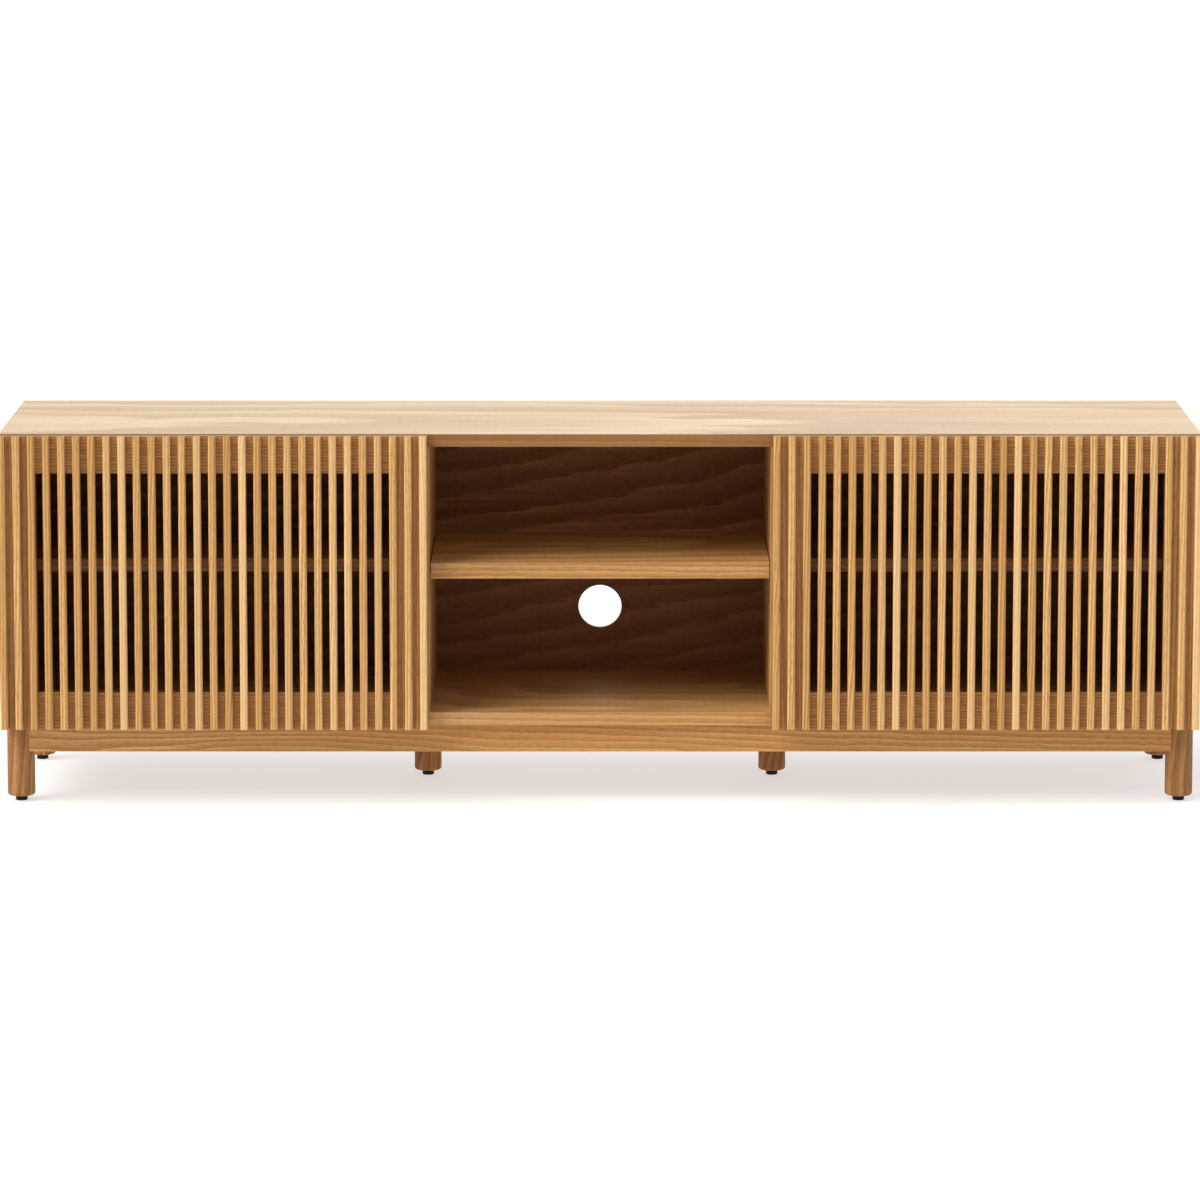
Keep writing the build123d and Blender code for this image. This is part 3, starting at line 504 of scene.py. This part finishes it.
class CABINET_OT_doors(FinishOperator, bpy.types.Operator):
    """Finishes stiles, rails and slats, each slat with its own wood"""

    bl_idname = "cabinet.doors"
    bl_label = "Doors"

    def execute(self, context):
        settings = context.scene.cabinet_oak
        for i, side in enumerate(SIDES):
            for j, part in enumerate(("outer_stile", "inner_stile")):
                node = f"{side}_door_{part}"
                paint(node, oak(f"oak_{node}", settings.door, UPRIGHT, rings=170, lean=0.01,
                                shift=(0.7 * i + 0.4 * j, 0.1 * j, 0.03 * i), contrast=0.9))
            for j, part in enumerate(("top_rail", "bottom_rail")):
                node = f"{side}_door_{part}"
                paint(node, oak(f"oak_{node}", settings.door, LONG, rings=240, lean=0.02,
                                shift=(0.8 * i + 0.3 * j, 0.1 * i, 0.04 * j), contrast=1.2))
            node = f"{side}_door_slats"
            paint(node, oak(f"oak_{node}", settings.slat, UPRIGHT, rings=230, lean=0.012,
                            warp=0.03, heart=0.08, contrast=1.1, slats=slat_layout(node)))
        return {"FINISHED"}


class CABINET_OT_base(FinishOperator, bpy.types.Operator):
    """Finishes the aprons, rails and round legs, with the screws that hold them"""

    bl_idname = "cabinet.base"
    bl_label = "Base frame"

    def execute(self, context):
        settings = context.scene.cabinet_oak
        for i, node in enumerate(("front_apron", "rear_apron")):
            paint(node, oak(f"oak_{node}", settings.base, LONG, rings=160, lean=0.035, warp=0.09,
                            heart=0.1, shift=(0.5 + i, 0.0, -0.04), contrast=0.85))
        for i, node in enumerate(both_sides("side_rail")):
            paint(node, oak(f"oak_{node}", settings.base, DEEP, rings=140, shift=(0.4 * i, 0, 0)))
        # The legs take the darker leg colour, which is partly painted shade under the cabinet.
        for i, row in enumerate(ROWS):
            for j, side in enumerate(SIDES):
                node = f"{row}_{side}_leg"
                paint(node, oak(f"oak_{node}", settings.leg, UPRIGHT, rings=75, lean=0.10,
                                warp=0.10, heart=0.3, contrast=0.9,
                                shift=(0.3 * i + 0.9 * j, 0.02 * i, 0.03 * j)))
        zinc = metal("zinc_screws", context.scene.cabinet_fittings.zinc, 0.3, (200, 200, 60))
        for node in ("apron_screws", "leg_bolts", "foot_inserts", "latch_screws"):
            paint(node, zinc)
        return {"FINISHED"}


class CABINET_OT_feet(FinishOperator, bpy.types.Operator):
    """Finishes the six levelling feet"""

    bl_idname = "cabinet.feet"
    bl_label = "Levelling feet"

    def execute(self, context):
        black = plastic("black_plastic", context.scene.cabinet_fittings.rubber, 0.42)
        for row in ROWS:
            for side in SIDES:
                paint(f"{row}_{side}_foot", black)
        return {"FINISHED"}


class CABINET_OT_hinges(FinishOperator, bpy.types.Operator):
    """Finishes the concealed hinges and the strike plates"""

    bl_idname = "cabinet.hinges"
    bl_label = "Hinges"

    def execute(self, context):
        fittings = context.scene.cabinet_fittings
        nickel = metal("nickel_steel", fittings.nickel, 0.26, (60, 500, 500))
        zinc = metal("zinc_steel", fittings.zinc, 0.3, (300, 300, 60))
        for part in ("hinge_cups", "hinge_arms", "hinge_plates", "cup_screws"):
            for node in both_sides(part):
                paint(node, nickel)
        for node in both_sides("hinge_pins") + both_sides("strike_plate"):
            paint(node, zinc)
        paint("hinge_plate_screws", nickel)
        return {"FINISHED"}


class CABINET_OT_latches(FinishOperator, bpy.types.Operator):
    """Finishes the push latches"""

    bl_idname = "cabinet.latches"
    bl_label = "Push latches"

    def execute(self, context):
        grey = plastic("grey_plastic", context.scene.cabinet_fittings.latch, 0.4)
        for node in both_sides("latch_housing") + both_sides("latch_plunger"):
            paint(node, grey)
        return {"FINISHED"}


class CABINET_OT_stage(FinishOperator, bpy.types.Operator):
    """Sets the floor, the soft lights and the camera"""

    bl_idname = "cabinet.stage"
    bl_label = "Stage"

    def execute(self, context):
        settings = context.scene.cabinet_stage
        make_floor(settings)
        make_lights(settings)
        make_camera(settings)
        context.scene.view_settings.view_transform = "Standard"
        return {"FINISHED"}


def slat_layout(node):
    """The first slat's middle and the slats' pitch, from the gaps between a node's solids."""
    places = sorted({round(v.co.x, 5) for v in NODES[node].data.vertices})
    gaps = [(after - place, place) for place, after in zip(places, places[1:])]
    widest = max(gap for gap, place in gaps)
    ends = [place for gap, place in gaps if gap > WIDE_GAP * widest]
    width = ends[0] - places[0]
    low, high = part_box(node)
    return low.x + width / 2, (high.x - low.x - width) / len(ends)


def make_floor(settings):
    mesh = bpy.data.meshes.new("floor")
    shape = bmesh.new()
    bmesh.ops.create_grid(shape, x_segments=1, y_segments=1, size=FLOOR_REACH)
    shape.to_mesh(mesh)
    shape.free()
    floor = bpy.data.objects.new("floor", mesh)
    bpy.context.scene.collection.objects.link(floor)
    material, net, shader, coordinates = new_material("floor_paint")
    mottle = net.noise(coordinates, 3.0, 3.0)
    net.feed(shader.inputs["Base Color"],
             net.mix(mottle, shade(settings.floor, 1.0), shade(settings.floor, 0.985)))
    shader.inputs["Roughness"].default_value = 0.8
    shader.inputs["Emission Color"].default_value = (1.0, 1.0, 1.0, 1.0)
    shader.inputs["Emission Strength"].default_value = settings.glow
    mesh.materials.append(material)


def make_lights(settings):
    world = bpy.data.worlds.new("surround")
    bpy.context.scene.world = world
    world.use_nodes = True
    background = world.node_tree.nodes["Background"]
    background.inputs["Color"].default_value = (1.0, 1.0, 1.0, 1.0)
    background.inputs["Strength"].default_value = settings.sky
    data = bpy.data.lights.new("key_light", "SUN")
    data.energy = settings.key
    data.angle = settings.key_spread
    light = bpy.data.objects.new("key_light", data)
    ahead = math.cos(settings.key_height)
    place = Vector((-math.sin(settings.key_side) * ahead, -math.cos(settings.key_side) * ahead,
                    math.sin(settings.key_height)))
    light.location = place * KEY_DISTANCE
    light.rotation_euler = (-place).to_track_quat("-Z", "Y").to_euler()
    bpy.context.scene.collection.objects.link(light)


def middle():
    low, high = CAD_BOX
    return (Vector(low) + Vector(high)) / 2


def make_camera(settings):
    data = bpy.data.cameras.new("camera")
    data.lens = settings.lens
    data.sensor_width = SENSOR_WIDTH
    data.clip_end = FAR_CLIP
    camera = bpy.data.objects.new("camera", data)
    away = Vector((0.0, -math.cos(settings.elevation), math.sin(settings.elevation)))
    camera.location = middle() + away * settings.distance
    camera.rotation_euler = (-away).to_track_quat("-Z", "Y").to_euler()
    bpy.context.scene.collection.objects.link(camera)
    bpy.context.scene.camera = camera


class CABINET_PT_sidebar(bpy.types.Panel):
    """Lists the cabinet's pieces"""

    bl_idname = "CABINET_PT_sidebar"
    bl_label = "Media cabinet"
    bl_space_type = "VIEW_3D"
    bl_region_type = "UI"
    bl_category = "Cabinet"

    def draw(self, context):
        for operator in OPERATORS:
            self.layout.operator(operator.bl_idname)


OPERATORS = (
    CABINET_OT_stage,
    CABINET_OT_top,
    CABINET_OT_carcass,
    CABINET_OT_shelves,
    CABINET_OT_doors,
    CABINET_OT_base,
    CABINET_OT_feet,
    CABINET_OT_hinges,
    CABINET_OT_latches,
)
SETTINGS = {
    "cabinet_oak": OakSettings,
    "cabinet_fittings": FittingSettings,
    "cabinet_stage": StageSettings,
}
CLASSES = (*SETTINGS.values(), *OPERATORS, CABINET_PT_sidebar)


def register():
    for each in CLASSES:
        bpy.utils.register_class(each)
    for name, group in SETTINGS.items():
        setattr(bpy.types.Scene, name, PointerProperty(type=group))


def unregister():
    for name in SETTINGS:
        delattr(bpy.types.Scene, name)
    for each in reversed(CLASSES):
        bpy.utils.unregister_class(each)


def main():
    register()
    for operator in OPERATORS:
        family, name = operator.bl_idname.split(".")
        getattr(getattr(bpy.ops, family), name)()


if __name__ == "__main__":
    main()
